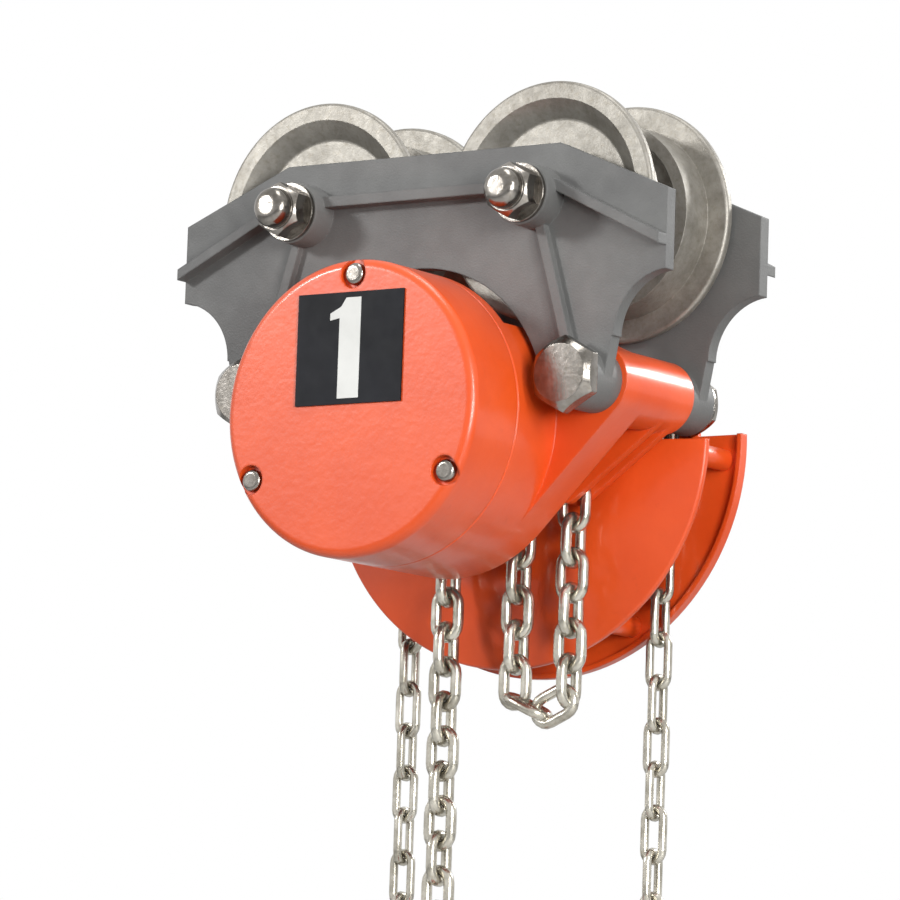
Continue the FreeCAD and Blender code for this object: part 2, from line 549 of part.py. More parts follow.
PINION = int(val("pinion_teeth"))
WHEEL_TEETH = int(val("wheel_teeth"))
HALF_TOOTH = 180.0 / WHEEL_TEETH
FIRST = -val("first_gear_at")
SECOND = -val("second_gear_at")
bearing_plate = rod(val("bearing_plate_radius"), SEAM, SEAM + val("bearing_plate_thick"), 0, HOIST_Z)
plate_holes = [rod(val("screw_radius"), SEAM - CUT_OVER, 0, x, z) for x, z in SCREW_SPOTS]
plate_holes.append(rod(val("shaft_bore"), SEAM - CUT_OVER, 0, 0, HOIST_Z))
for sign, end in ((-1, "left"), (1, "right")):
    x = sign * val("gear_apart")
    plate_holes.append(rod(val("journal_bore"), SEAM - CUT_OVER, 0, x, HOIST_Z))
    wheel = gear(WHEEL_TEETH, FIRST, val("first_gear_wide"), x, HALF_TOOTH)
    pinion_gear = gear(PINION, FIRST, SECOND - FIRST + val("second_gear_wide"), x, 0)
    journals = rod(val("journal_radius"), SEAM, WALL_END, x, HOIST_Z)
    feature("intermediate_gear_" + end, wheel.fuse([pinion_gear, journals]))
feature("bearing_plate", bearing_plate.cut(plate_holes))
load_gear = gear(WHEEL_TEETH, SECOND, val("second_gear_wide"), 0, HALF_TOOTH)
feature("load_gear", load_gear.cut(rod(val("spline_radius"), -val("seam_out"), 0, 0, HOIST_Z)))


# One chain link as a closed ruled loft of hexagons round a racetrack, its long way along X
def link_shape(wire, pitch):
    bend_steps = 3
    half = wire / 2 - val("link_slim")
    bend = LINK_BEND * wire
    straight = pitch / 2 + wire / 2 - bend
    stations = []
    for side in (0, 1):
        for step in range(bend_steps + 1):
            angle = math.pi * (side + step / bend_steps) - math.pi / 2
            stations.append((straight * (1 - 2 * side), angle))
    rings = []
    for offset, angle in stations:
        out = Vector(math.cos(angle), math.sin(angle), 0)
        centre = Vector(offset, 0, 0) + out * bend
        corners = []
        for corner in range(7):
            lean = math.radians(60 * corner)
            corners.append(centre + out * (half * math.cos(lean)) + AXIS_Z * (half * math.sin(lean)))
        rings.append(Part.makePolygon(corners))
    return Part.makeLoft(rings, True, True, True)


# Links from point to point of a route in a plane square to Y, lying and standing in turn
def chain(route, y, wire, pitch, first_flat):
    pattern = link_shape(wire, pitch)
    links = []
    for index in range(len(route) - 1):
        start, end = route[index], route[index + 1]
        run = Vector(end[0] - start[0], 0, end[1] - start[1]).normalize()
        flat = (index % 2 == 0) == first_flat
        normal = run.cross(AXIS_Y) if flat else AXIS_Y
        side = normal.cross(run)
        turn = Rotation(FreeCAD.Matrix(run.x, side.x, normal.x, 0, run.y, side.y, normal.y, 0,
                                       run.z, side.z, normal.z, 0, 0, 0, 0, 1))
        link = pattern.copy()
        middle = Vector((start[0] + end[0]) / 2, y, (start[1] + end[1]) / 2)
        link.Placement = Placement(middle, turn)
        links.append(link)
    return links


LOAD_PITCH = val("load_pitch")
SLACK_LOW = STRAND_TOP - val("slack_links") * LOAD_PITCH
load_route = [(ANCHOR_X, ANCHOR_Z - step * LOAD_PITCH) for step in range(int(val("slack_rise_links")) + 1)]
load_route.append((STRAND_X + ANCHOR_RUN, SLACK_LOW - val("slack_dip")))
load_route += [(STRAND_X, SLACK_LOW + step * LOAD_PITCH) for step in range(int(val("slack_links")))]
corner_count = int(val("sheave_pockets")) + 2
load_route += [on_circle(SHEAVE_CORNER, SHEAVE_STEP * (step - 0.5)) for step in range(corner_count)]
load_route += [(-STRAND_X, STRAND_TOP - step * LOAD_PITCH) for step in range(1, int(val("load_links")) + 1)]
load_links = chain(load_route, val("sheave_at"), val("load_wire"), LOAD_PITCH, False)
feature("load_chain", Part.makeCompound(load_links))
YOKE_Z = STRAND_TOP - val("load_links") * LOAD_PITCH

HAND_PITCH = val("hand_pitch")
HAND_STEP = 180.0 / val("hand_pockets")
HAND_CORNER = HAND_PITCH / 2 / math.sin(math.radians(HAND_STEP / 2))
HAND_X = HAND_CORNER * math.cos(math.radians(HAND_STEP / 2))
HAND_DROP = val("hand_links") * HAND_PITCH
half_turn = int(val("hand_pockets"))
hand_route = [on_circle(HAND_CORNER, HAND_STEP * (step - 0.5)) for step in range(half_turn + 2)]
hand_route += [(-HAND_X, HOIST_Z - HAND_PITCH / 2 - step * HAND_PITCH)
               for step in range(1, int(val("hand_links")) - 1)]
low_turn = [on_circle(HAND_CORNER, 180 + HAND_STEP * (step - 0.5)) for step in range(half_turn + 2)]
hand_route += [(x, z - HAND_DROP) for x, z in low_turn]
hand_route += [(HAND_X, HOIST_Z - HAND_DROP + HAND_PITCH / 2 + step * HAND_PITCH)
               for step in range(1, int(val("hand_links")) - 1)]
hand_route.append(hand_route[0])
HAND_Y = val("hand_at")
feature("hand_chain", Part.makeCompound(chain(hand_route, HAND_Y, val("hand_wire"), HAND_PITCH, True)))


# Pockets for the lying links of a chain wheel, as blocks tangent to its pitch polygon
def pockets(count, wire, pitch, y, radius):
    wide = 2 * LINK_HALF * wire + 2 * val("free_gap")
    long = pitch + 2 * wire + 2 * val("free_gap")
    depth = wire / 2 + val("free_gap")
    tools = []
    for step in range(count):
        tool = block(-depth, 2 * pitch, -wide / 2, wide / 2, -long / 2, long / 2)
        tool.translate(Vector(radius, 0, 0))
        turn = Placement(Vector(0, y, HOIST_Z), Rotation(AXIS_Y, 360.0 * step / count))
        tool.Placement = turn.multiply(tool.Placement)
        tools.append(tool)
    return tools


def groove(outer, inner, y, wire):
    half = wire / 2 + val("free_gap")
    return rod(outer, y - half, y + half, 0, HOIST_Z).cut(rod(inner, y - half, y + half, 0, HOIST_Z))


# Load sheave, turned with a spline for its gear, a groove for standing links and link pockets
sheave = rod(val("spline_radius"), SECOND, -val("wall_front"), 0, HOIST_Z)
sheave = sheave.fuse([
    rod(val("sheave_journal"), -val("wall_front"), val("rear_bearing_end"), 0, HOIST_Z),
    rod(val("sheave_flange"), val("sheave_front"), val("sheave_back"), 0, HOIST_Z)])
sheave_groove = STRAND_X - LINK_HALF * val("load_wire") - val("free_gap")
sheave = sheave.cut(groove(val("sheave_flange") + CUT_OVER, sheave_groove, val("sheave_at"),
                           val("load_wire")))
sheave = sheave.cut(pockets(int(val("sheave_pockets")), val("load_wire"), LOAD_PITCH, val("sheave_at"),
                            STRAND_X))
sheave = sheave.cut(rod(val("shaft_bore"), SECOND, val("rear_bearing_end"), 0, HOIST_Z))
feature("load_sheave", sheave)
ring("front_sheave_bearing", "0", "end_wall", "bearing_bore", "bearing_radius", y="-wall_front")
ring("rear_sheave_bearing", "0", "end_wall", "bearing_bore", "bearing_radius", y="drum_face")

# Pinion shaft: runs through the hollow sheave from the pinion to the hand wheel
pinion_shaft = gear(PINION, FIRST, val("first_gear_wide"), 0, 0)
shaft = rod(val("shaft_radius"), SEAM, val("shaft_end"), 0, HOIST_Z)
feature("pinion_shaft", pinion_shaft.fuse(shaft))

# Brake stack behind the sheave
turned("brake_hub", [("0", "shaft_radius"), ("0", "brake_radius"), ("brake_hub_thick", "brake_radius"),
                     ("brake_hub_thick", "hub_boss"), ("hub_boss_long", "hub_boss"),
                     ("hub_boss_long", "shaft_radius")], y="brake_at")
ring("inner_friction_disc", "0", "friction_thick", "hand_hub_radius", "brake_radius", y="friction_one")
ring("outer_friction_disc", "0", "friction_thick", "hand_hub_radius", "brake_radius", y="friction_two")


def ratchet_disc():
    teeth = int(val("ratchet_teeth"))
    high = val("ratchet_radius")
    low = high - val("ratchet_tooth")
    points = []
    for tooth in range(teeth):
        for radius, share in ((low, 0.0), (high, RATCHET_SLOPE), (high, 1.0)):
            x, z = on_circle(radius, 360.0 * (tooth + share) / teeth)
            points.append(Vector(x, val("ratchet_at"), z))
    points.append(points[0])
    disc = Part.Face(Part.makePolygon(points)).extrude(Vector(0, val("ratchet_thick"), 0))
    return disc.cut(rod(val("hand_hub_radius"), 0, 2 * val("ratchet_at"), 0, HOIST_Z))


feature("ratchet_disc", ratchet_disc())

# Pawl on its pin, its tip just off the ratchet's teeth at the foot of the disc
pawl_y = val("ratchet_at")
pawl_pin_radius = val("anchor_pin_radius")
pawl_gap = val("ratchet_radius") + 2 * pawl_pin_radius + val("pawl_room")
pawl_x = val("pawl_reach")
pawl_z = HOIST_Z - pawl_gap
tip = [(0, val("free_gap")), (-val("pawl_tip_long"), val("pawl_tip_thick"))]
pawl_points = [Vector(x, pawl_y, HOIST_Z - val("ratchet_radius") - gap) for x, gap in tip]
pawl_points += [Vector(pawl_x, pawl_y, pawl_z - 2 * pawl_pin_radius),
                Vector(pawl_x, pawl_y, pawl_z + val("pawl_heel"))]
pawl_points.append(pawl_points[0])
pawl = Part.Face(Part.makePolygon(pawl_points)).extrude(Vector(0, val("ratchet_thick"), 0))
pawl = pawl.fuse(rod(2 * pawl_pin_radius, pawl_y, pawl_y + val("ratchet_thick"), pawl_x, pawl_z))
pawl_bore = pawl_pin_radius + val("running_gap")
feature("pawl", pawl.cut(rod(pawl_bore, pawl_y - CUT_OVER, 2 * pawl_y, pawl_x, pawl_z)))
pawl_seat = val("drum_face") + val("drum_wall")
pawl_pin_end = pawl_y + val("ratchet_thick") + val("pawl_pin_proud")
feature("pawl_pin", rod(pawl_pin_radius, pawl_seat, pawl_pin_end, pawl_x, pawl_z))

# Brake housing: drum whose wall flares to a lipped rim, trimmed above to pass the rear plate
drum = turned("brake_drum", [
    ("0", "bearing_radius"), ("0", "drum_neck"), ("lip_rise", "lip_radius"), ("rim_end", "lip_radius"),
    ("rim_end", "lip_inside"), ("drum_wall", "drum_inside"), ("drum_wall", "drum_boss"),
    ("end_wall", "drum_boss"), ("end_wall", "bearing_radius")], y="drum_face", keep=False)
soften(drum, "drum_round", ("0", "drum_neck"))
soften(drum, "rim_round", ("rim_end", "lip_radius"), ("lip_rise", "lip_radius"))
wheel_cap = turned("wheel_cap", [
    ("0", "ring_in"), ("0", "ring_radius"), ("ring_back", "ring_radius"), ("ring_back", "dome_radius"),
    ("dome_back", "dome_shoulder"), ("dome_back", "0"), ("dome_floor", "0"),
    ("dome_floor", "dome_shoulder_in"), ("ring_lip", "dome_in"), ("ring_lip", "ring_in")],
    y="ring_start", keep=False)
soften(wheel_cap, "rim_round", ("ring_back", "ring_radius"))
soften(wheel_cap, "dome_round", ("dome_back", "dome_shoulder"))
doc.recompute()


def brake_housing():
    reach = 2 * val("ring_radius")
    deep = 2 * val("shaft_end")
    above = block(-reach, reach, 0, deep, HOIST_Z - val("drum_flat"), reach)
    above = above.cut(rod(val("drum_top_radius"), 0, deep, 0, HOIST_Z))
    roof = block(-reach, reach, 0, deep, -val("roof_drop"), reach)
    shape = drum.Shape.cut([above, roof])
    boss = rod(2 * pawl_pin_radius, pawl_seat - CUT_OVER, pawl_y - val("free_gap"), pawl_x, pawl_z)
    seat = val("drum_face") + val("lip_rise")
    holes = [rod(val("stud_radius"), seat, deep, x, z) for x, z in STUD_SPOTS]
    holes.append(rod(val("drain_radius"), 0, deep, *on_circle(val("drain_circle"), val("drain_angle"))))
    holes.append(rod(pawl_pin_radius, pawl_seat, deep, pawl_x, pawl_z))
    return shape.fuse(boss).cut(holes)


feature("brake_housing", brake_housing())


# Hand wheel: hub, web and pocketed rim
def hand_wheel():
    outer = HAND_X + val("hand_wheel_rise")
    inner = outer - val("hand_rim_deep")
    half = val("hand_wheel_half")
    low, high = HAND_Y - half, HAND_Y + half
    web = val("hand_web_half")
    shape = rod(outer, low, high, 0, HOIST_Z).cut(rod(inner, low, high, 0, HOIST_Z))
    shape = shape.fuse([rod(inner + CUT_OVER, HAND_Y - web, HAND_Y + web, 0, HOIST_Z),
                        rod(val("hand_hub_radius"), low, HAND_Y + val("hand_hub_half"), 0, HOIST_Z)])
    wire = val("hand_wire")
    shape = shape.cut(groove(outer + CUT_OVER, HAND_X - LINK_HALF * wire - val("free_gap"), HAND_Y, wire))
    shape = shape.cut(pockets(int(val("hand_pockets")), wire, HAND_PITCH, HAND_Y, HAND_X))
    windows = []
    middle = (inner + val("hand_hub_radius")) / 2
    window_radius = (inner - val("hand_hub_radius")) * WINDOW_SHARE
    for step in range(int(val("hand_windows"))):
        x, z = on_circle(middle, 360.0 * step / val("hand_windows") + val("hand_window_turn"))
        windows.append(rod(window_radius, low, high, x, z))
    return shape.cut(windows + [rod(val("shaft_radius"), low, high, 0, HOIST_Z)])


feature("hand_wheel", hand_wheel())
nut_hole = Part.makeCylinder(val("shaft_radius"), val("shaft_nut_tall"))
shaft_nut = hexagon(val("shaft_nut_across"), val("shaft_nut_tall")).cut(nut_hole)
feature("shaft_nut", along_y(shaft_nut, HAND_Y + val("hand_hub_half"), 0, HOIST_Z, False))


# Hand-wheel cover on four studs
def wheel_cover():
    reach = 2 * val("ring_radius")
    above = block(-reach, reach, 0, reach, HOIST_Z + val("cover_flat"), reach)
    above = above.cut(rod(val("dome_radius"), 0, reach, 0, HOIST_Z))
    holes = [rod(val("stud_radius"), 0, reach, x, z) for x, z in STUD_SPOTS]
    return wheel_cap.Shape.cut([above] + holes)


feature("hand_wheel_cover", wheel_cover())


def cover_stud(x, z):
    rim_back = val("drum_face") + val("rim_end")
    ring_back = val("ring_at") + val("ring_thick")
    stud = rod(val("stud_radius"), rim_back - val("lip_deep"), ring_back, x, z)
    sleeve = rod(val("stud_sleeve_radius"), rim_back, val("ring_at"), x, z)
    head = along_y(hexagon(val("stud_head_across"), val("stud_head_tall")), ring_back, x, z, False)
    return stud.fuse([sleeve, head])


feature("cover_studs", Part.makeCompound([cover_stud(x, z) for x, z in STUD_SPOTS]))
ear_reach = val("load_wire") / 2 + val("free_gap") + val("ear_thick")
feature("anchor_pin", rod(val("anchor_pin_radius"), val("sheave_at") - ear_reach,
                          val("sheave_at") + ear_reach, ANCHOR_X, ANCHOR_PIN_Z))

# Yoke on the last link, with the hook's collar trapped in it
HOOK_X = -STRAND_X
HOOK_Y = val("sheave_at")
YOKE_TOP = YOKE_Z + 2 * val("yoke_pin_radius")
YOKE_FOOT = YOKE_TOP - val("yoke_tall")
FLOOR = YOKE_FOOT + val("hook_wire")
ROOM_TOP = FLOOR + val("collar_tall") + 2 * val("free_gap")
YOKE_PIN_Z = YOKE_Z + val("yoke_pin_radius") + val("anchor_play")


def post(radius, low, high, x=0.0):
    return Part.makeCylinder(radius, high - low, Vector(HOOK_X + x, HOOK_Y, low))


def yoke():
    wire = val("load_wire")
    slot_x = wire / 2 + val("free_gap")
    slot_y = LINK_HALF * wire + val("free_gap")
    slot = block(HOOK_X - slot_x, HOOK_X + slot_x, HOOK_Y - slot_y, HOOK_Y + slot_y,
                 YOKE_Z - wire - val("free_gap"), YOKE_TOP)
    shape = post(val("yoke_radius"), YOKE_FOOT, YOKE_TOP)
    shape = shape.makeChamfer(val("yoke_chamfer"), [edge for edge in shape.Edges if edge.Closed])
    pin = Part.makeCylinder(val("yoke_pin_radius"), 2 * val("yoke_radius"),
                            Vector(HOOK_X - val("yoke_radius"), HOOK_Y, YOKE_PIN_Z), Vector(1, 0, 0))
    room = post(val("yoke_radius") - val("yoke_wall"), FLOOR, ROOM_TOP)
    shape = shape.cut([slot, pin, room, post(val("hook_shank") + val("running_gap"), YOKE_FOOT, FLOOR)])
    feature("yoke_pin", pin.common(post(val("yoke_radius"), YOKE_FOOT, YOKE_TOP)))
    return shape


feature("hook_yoke", yoke())
collar = post(val("yoke_radius") - val("yoke_wall") - val("free_gap"), FLOOR, FLOOR + val("collar_tall"))
feature("hook_collar", collar.cut(post(val("hook_shank"), FLOOR, ROOM_TOP)))
HOOK_BEND = val("hook_bowl") + val("hook_wire")
HOOK_Z = YOKE_FOOT - val("hook_neck") - HOOK_BEND
BOWL_TURN = 270
LATCH_X = HOOK_X + val("hook_wire") + val("latch_out")
LATCH_Z = HOOK_Z + HOOK_BEND - val("latch_low")


# Hook: shank, round bowl open on +X, ball tip and a lug for the latch
def hook():
    wire = val("hook_wire")
    tip = Vector(HOOK_X + HOOK_BEND, HOOK_Y, HOOK_Z)
    section = Part.makeCircle(wire, Vector(HOOK_X, HOOK_Y, HOOK_Z + HOOK_BEND), Vector(1, 0, 0))
    disc = Part.Face(Part.Wire(section))
    bowl = disc.revolve(Vector(HOOK_X, HOOK_Y, HOOK_Z), -AXIS_Y, BOWL_TURN)
    shank = post(val("hook_shank"), YOKE_FOOT - wire, FLOOR + val("collar_tall"))
    neck_low = HOOK_Z + HOOK_BEND
    swell = wire + val("neck_swell")
    neck = Part.makeCone(swell, val("hook_shank") + val("neck_swell"), YOKE_FOOT - val("free_gap") - neck_low,
                         Vector(HOOK_X, HOOK_Y, neck_low))
    half, round_end = val("lug_half"), val("lug_round")
    lug = block(HOOK_X, LATCH_X, HOOK_Y - half, HOOK_Y + half, LATCH_Z - round_end, LATCH_Z + round_end)
    lug = lug.fuse(rod(round_end, HOOK_Y - half, HOOK_Y + half, LATCH_X, LATCH_Z))
    ball = Part.makeSphere(wire, tip)
    round_top = Part.makeSphere(swell, Vector(HOOK_X, HOOK_Y, neck_low))
    shape = bowl.fuse([ball, neck, round_top, shank, lug])
    return shape.cut(rod(val("latch_pin_radius"), 0, 2 * HOOK_Y, LATCH_X, LATCH_Z))


feature("load_hook", hook())


# Latch: strap with two cheeks on the pin, reaching to the inside of the hook's tip
def latch():
    half, thick, start = val("latch_half"), val("latch_thick"), val("latch_start")
    end_x = HOOK_X + HOOK_BEND - val("hook_wire") - thick / 2 - val("free_gap")
    long = math.hypot(end_x - LATCH_X, HOOK_Z - LATCH_Z)
    lean = math.degrees(math.atan2(end_x - LATCH_X, LATCH_Z - HOOK_Z))
    strap = block(-thick / 2, thick / 2, -half, half, -long, -start)
    for low in (-half, val("lug_half") + val("free_gap")):
        high = low + half - val("lug_half") - val("free_gap")
        strap = strap.fuse([block(-thick / 2, thick / 2, low, high, -start - thick, 0),
                            rod(val("lug_round"), low, high)])
    strap = strap.cut(rod(val("latch_pin_radius") + val("running_gap"), -half, half))
    strap.Placement = Placement(Vector(LATCH_X, HOOK_Y, LATCH_Z), Rotation(AXIS_Y, -lean))
    return strap


feature("hook_latch", latch())
feature("latch_pin", rod(val("latch_pin_radius"), HOOK_Y - val("latch_pin_half"),
                         HOOK_Y + val("latch_pin_half"), LATCH_X, LATCH_Z))

# Every object is checked before anything is written
doc.recompute()
for item in doc.Objects:
    if "Invalid" in item.State or "Error" in item.State:
        raise RuntimeError(item.Label + ": " + ", ".join(item.State))
for name, item in nodes.items():
    if item.Shape.isNull() or not item.Shape.isValid():
        raise RuntimeError(name + ": bad shape")
os.makedirs("parts", exist_ok=True)
for name, item in nodes.items():
    item.Shape.exportStep("parts/" + name + ".step")
print(len(nodes), "pieces written")
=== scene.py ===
import json
import math
import bpy
import bmesh
from mathutils import Matrix, Vector


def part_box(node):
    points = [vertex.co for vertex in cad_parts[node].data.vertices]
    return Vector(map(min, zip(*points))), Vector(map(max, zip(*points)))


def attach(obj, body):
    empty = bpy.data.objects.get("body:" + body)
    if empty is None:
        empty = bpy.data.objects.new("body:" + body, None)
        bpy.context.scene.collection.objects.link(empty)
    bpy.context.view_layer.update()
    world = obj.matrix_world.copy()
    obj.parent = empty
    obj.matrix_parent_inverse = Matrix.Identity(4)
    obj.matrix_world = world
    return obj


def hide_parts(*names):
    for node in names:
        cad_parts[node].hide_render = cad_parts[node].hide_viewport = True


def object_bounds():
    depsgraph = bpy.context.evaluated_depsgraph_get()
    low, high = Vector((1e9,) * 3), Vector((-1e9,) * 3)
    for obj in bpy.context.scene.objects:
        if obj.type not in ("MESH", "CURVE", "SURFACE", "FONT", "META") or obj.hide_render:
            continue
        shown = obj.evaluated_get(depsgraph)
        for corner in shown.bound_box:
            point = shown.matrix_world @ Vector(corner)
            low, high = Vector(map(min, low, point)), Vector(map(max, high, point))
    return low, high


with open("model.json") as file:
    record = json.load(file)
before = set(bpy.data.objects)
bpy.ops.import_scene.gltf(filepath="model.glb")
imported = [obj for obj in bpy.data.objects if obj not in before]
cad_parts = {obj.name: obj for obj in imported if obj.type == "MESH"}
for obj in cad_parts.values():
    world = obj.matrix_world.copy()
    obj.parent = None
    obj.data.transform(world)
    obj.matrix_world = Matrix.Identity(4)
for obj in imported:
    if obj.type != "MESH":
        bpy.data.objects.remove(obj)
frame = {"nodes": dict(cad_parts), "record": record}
cad_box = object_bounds()
ROOT = "trolley"
MM = 0.001

# Camera: the photograph's view, from the right and a little below
AZIMUTH = math.radians(34.252)
ELEVATION = math.radians(-7.515)
ROLL = math.radians(1.993)
DISTANCE = 2.947
FOCAL_PIXELS = 5426.0
IMAGE_PIXELS = 900.0
SENSOR = 36.0
TARGET = Vector((0.0, -0.016372, -0.075347))
CENTRE_SHIFT = (-0.602, 1.293)
FAR_CLIP = 50.0


def make_camera():
    back = Vector((math.sin(AZIMUTH) * math.cos(ELEVATION), -math.cos(AZIMUTH) * math.cos(ELEVATION),
                   math.sin(ELEVATION)))
    level = Vector((math.cos(AZIMUTH), math.sin(AZIMUTH), 0.0))
    steep = back.cross(level)
    right = level * math.cos(ROLL) + steep * math.sin(ROLL)
    up = steep * math.cos(ROLL) - level * math.sin(ROLL)
    data = bpy.data.cameras.new("photo_camera")
    data.sensor_width = SENSOR
    data.sensor_fit = "HORIZONTAL"
    data.lens = FOCAL_PIXELS * SENSOR / IMAGE_PIXELS
    data.shift_x = -CENTRE_SHIFT[0] / IMAGE_PIXELS
    data.shift_y = CENTRE_SHIFT[1] / IMAGE_PIXELS
    data.clip_end = FAR_CLIP
    data.dof.use_dof = False
    camera = bpy.data.objects.new("photo_camera", data)
    bpy.context.scene.collection.objects.link(camera)
    place = TARGET + back * DISTANCE
    camera.matrix_world = Matrix(((right.x, up.x, back.x, place.x), (right.y, up.y, back.y, place.y),
                                  (right.z, up.z, back.z, place.z), (0, 0, 0, 1)))
    bpy.context.scene.camera = camera


make_camera()

# Lamps: soft rectangles, all aimed at the middle of the hoist
MIDDLE = Vector((0.0, 0.0, -0.1))
LAMPS = {
    "key_light": {"place": (-1.35, -1.7, 0.68), "size": (0.3, 0.3), "power": 20.0},
    "front_light": {"place": (2.2, -1.7, -0.1), "size": (0.7, 0.7), "power": 36.0},
    "right_light": {"place": (2.2, -1.1, 0.4), "size": (0.3, 1.2), "power": 30.0},
    "top_light": {"place": (0.2, -0.3, 2.0), "size": (0.6, 1.2), "power": 16.0},
    "back_light": {"place": (0.9, 1.8, 0.95), "size": (0.5, 0.5), "power": 20.0},
}


def area_light(name, place, size, power):
    data = bpy.data.lights.new(name, "AREA")
    data.shape = "RECTANGLE"
    data.size, data.size_y = size
    data.energy = power
    lamp = bpy.data.objects.new(name, data)
    bpy.context.scene.collection.objects.link(lamp)
    lamp.location = place
    lamp.rotation_euler = (MIDDLE - Vector(place)).to_track_quat("-Z", "Y").to_euler()


for lamp_name, settings in LAMPS.items():
    area_light(lamp_name, **settings)

# World: a soft sky that fades downwards, and white where the camera or a reflection sees it
SKY_COLOUR = (0.95, 0.97, 1.0, 1.0)
SKY_FADE = {"From Min": -0.5, "From Max": 0.4, "To Min": 0.05, "To Max": 0.34}
WHITE = (1.0, 1.0, 1.0, 1.0)
WHITE_STRENGTH = 1.0


def make_world():
    world = bpy.data.worlds.new("studio")
    bpy.context.scene.world = world
    world.use_nodes = True
    tree = world.node_tree
    tree.nodes.clear()
    out = tree.nodes.new("ShaderNodeOutputWorld")
    mix = tree.nodes.new("ShaderNodeMixShader")
    soft = tree.nodes.new("ShaderNodeBackground")
    soft.inputs["Color"].default_value = SKY_COLOUR
    ray = tree.nodes.new("ShaderNodeTexCoord")
    split = tree.nodes.new("ShaderNodeSeparateXYZ")
    fade = tree.nodes.new("ShaderNodeMapRange")
    for socket, value in SKY_FADE.items():
        fade.inputs[socket].default_value = value
    tree.links.new(ray.outputs["Generated"], split.inputs[0])
    tree.links.new(split.outputs["Z"], fade.inputs["Value"])
    tree.links.new(fade.outputs["Result"], soft.inputs["Strength"])
    white = tree.nodes.new("ShaderNodeBackground")
    white.inputs["Color"].default_value = WHITE
    white.inputs["Strength"].default_value = WHITE_STRENGTH
    path = tree.nodes.new("ShaderNodeLightPath")
    seen = path.outputs["Is Camera Ray"]
    for kind in ("Is Glossy Ray", "Is Transmission Ray"):
        either = tree.nodes.new("ShaderNodeMath")
        either.operation = "MAXIMUM"
        tree.links.new(seen, either.inputs[0])
        tree.links.new(path.outputs[kind], either.inputs[1])
        seen = either.outputs[0]
    tree.links.new(seen, mix.inputs["Fac"])
    tree.links.new(soft.outputs[0], mix.inputs[1])
    tree.links.new(white.outputs[0], mix.inputs[2])
    tree.links.new(mix.outputs[0], out.inputs["Surface"])


make_world()
bpy.context.scene.view_settings.view_transform = "Standard"

# Materials: painted and metal surfaces, each with uneven tone, uneven gloss and a fine grain
COAT_ROUGHNESS = 0.12
BUMP_STRENGTH = 1.0
GRIME = (0.78, 0.74, 0.7, 1.0)
GRIME_SHARE = 0.55
SPOT = (0.72, 0.68, 0.6, 1.0)
SPOT_SHARE = 0.6


def linear(red, green, blue):
    """Scene colour of an 8-bit screen colour."""
    def one(value):
        value /= 255.0
        return value / 12.92 if value <= 0.04045 else ((value + 0.055) / 1.055) ** 2.4
    return one(red), one(green), one(blue), 1.0


class Shader:
    """A material with one principled shader and the few nodes that shape it."""

    def __init__(self, name, metallic=0.0, coat=0.0):
        self.material = bpy.data.materials.new(name)
        self.material.use_nodes = True
        self.tree = self.material.node_tree
        self.shader = self.tree.nodes["Principled BSDF"]
        self.shader.inputs["Metallic"].default_value = metallic
        self.shader.inputs["Coat Weight"].default_value = coat
        self.shader.inputs["Coat Roughness"].default_value = COAT_ROUGHNESS
        self.place = self.tree.nodes.new("ShaderNodeTexCoord").outputs["Object"]

    def noise(self, scale, detail=4.0, roughness=0.55):
        node = self.tree.nodes.new("ShaderNodeTexNoise")
        node.inputs["Scale"].default_value = scale
        node.inputs["Detail"].default_value = detail
        node.inputs["Roughness"].default_value = roughness
        self.tree.links.new(self.place, node.inputs["Vector"])
        return node.outputs["Fac"]

    def ramp(self, source, low, high, colours):
        node = self.tree.nodes.new("ShaderNodeValToRGB")
        node.color_ramp.elements[0].position = low
        node.color_ramp.elements[1].position = high
        node.color_ramp.elements[0].color = colours[0]
        node.color_ramp.elements[1].color = colours[1]
        self.tree.links.new(source, node.inputs["Fac"])
        return node.outputs["Color"]

    def mix(self, factor, first, second, blend="MIX"):
        node = self.tree.nodes.new("ShaderNodeMix")
        node.data_type = "RGBA"
        node.blend_type = blend
        if isinstance(factor, float):
            node.inputs[0].default_value = factor
        else:
            self.tree.links.new(factor, node.inputs[0])
        for socket, value in ((node.inputs[6], first), (node.inputs[7], second)):
            if isinstance(value, tuple):
                socket.default_value = value
            else:
                self.tree.links.new(value, socket)
        return node.outputs[2]

    def span(self, source, low, high):
        node = self.tree.nodes.new("ShaderNodeMapRange")
        node.inputs["To Min"].default_value = low
        node.inputs["To Max"].default_value = high
        self.tree.links.new(source, node.inputs["Value"])
        return node.outputs["Result"]

    def colour(self, source):
        self.tree.links.new(source, self.shader.inputs["Base Color"])

    def rough(self, source):
        self.tree.links.new(source, self.shader.inputs["Roughness"])

    def bump(self, source, depth, edge):
        rounded = self.tree.nodes.new("ShaderNodeBevel")
        rounded.inputs["Radius"].default_value = edge
        node = self.tree.nodes.new("ShaderNodeBump")
        self.tree.links.new(rounded.outputs["Normal"], node.inputs["Normal"])
        node.inputs["Strength"].default_value = BUMP_STRENGTH
        node.inputs["Distance"].default_value = depth
        self.tree.links.new(source, node.inputs["Height"])
        self.tree.links.new(node.outputs["Normal"], self.shader.inputs["Normal"])


